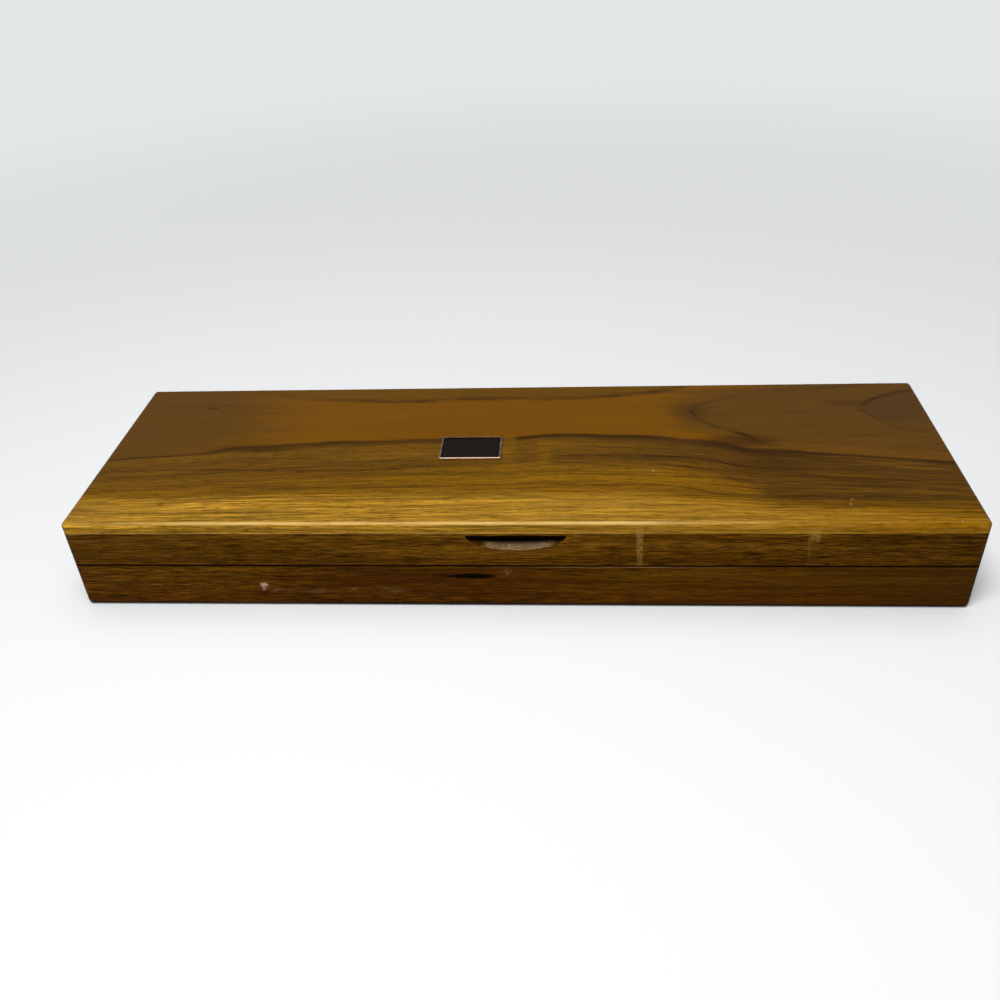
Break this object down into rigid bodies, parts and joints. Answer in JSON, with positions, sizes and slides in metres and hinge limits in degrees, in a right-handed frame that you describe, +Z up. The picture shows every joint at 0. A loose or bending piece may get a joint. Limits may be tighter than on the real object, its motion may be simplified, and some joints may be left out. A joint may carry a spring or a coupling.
{
  "type": "knife display case",
  "caption": "Long flat wooden presentation case for a carving set, with a hinged lid, a finger scoop, cloth linings and fitted rests for the set.",
  "frame": {"origin": "middle of the face the case stands on", "axes": "+X along the case, to the right as seen from the front; -Y is the front with the finger scoop; +Z up"},
  "size_m": [0.406, 0.125, 0.0478],
  "materials": {
    "base_wood": "satin lacquered walnut, the darkest and reddest of the case",
    "lid_rail_wood": "satin lacquered walnut",
    "lid_board_wood": "satin lacquered walnut with a pale sapwood front",
    "panel_wood": "unfinished plywood",
    "velvet": "dark red velvet over card or wood",
    "satin": "ivory satin over wadding",
    "brass": "lightly tarnished",
    "nameplate_metal": "black field with a bright metal rim"
  },
  "bodies": {
    "base": {"base_front_rail": "base_wood", "base_rear_rail": "base_wood", "base_left_end": "base_wood", "base_right_end": "base_wood", "base_bottom_panel": "panel_wood", "base_lining": "velvet", "handle_rest": "velvet", "blade_rest": "velvet", "left_hinge_lower_leaf": "brass", "left_hinge_pin": "brass", "left_hinge_lower_screw_1": "brass", "left_hinge_lower_screw_2": "brass", "right_hinge_lower_leaf": "brass", "right_hinge_pin": "brass", "right_hinge_lower_screw_1": "brass", "right_hinge_lower_screw_2": "brass"},
    "lid": {"lid_front_rail": "lid_rail_wood", "lid_rear_rail": "lid_rail_wood", "lid_left_end": "lid_rail_wood", "lid_right_end": "lid_rail_wood", "lid_board": "lid_board_wood", "lid_lining": "satin", "lid_pad": "satin", "nameplate": "nameplate_metal", "left_hinge_upper_leaf": "brass", "left_hinge_upper_screw_1": "brass", "left_hinge_upper_screw_2": "brass", "right_hinge_upper_leaf": "brass", "right_hinge_upper_screw_1": "brass", "right_hinge_upper_screw_2": "brass"}
  },
  "joints": [
    {"name": "lid_hinge", "type": "hinge", "parent": "base", "child": "lid", "pos_m": [0, 0.0593, 0.0238], "axis": [-1, 0, 0], "range_deg": [0, 100]}
  ]
}
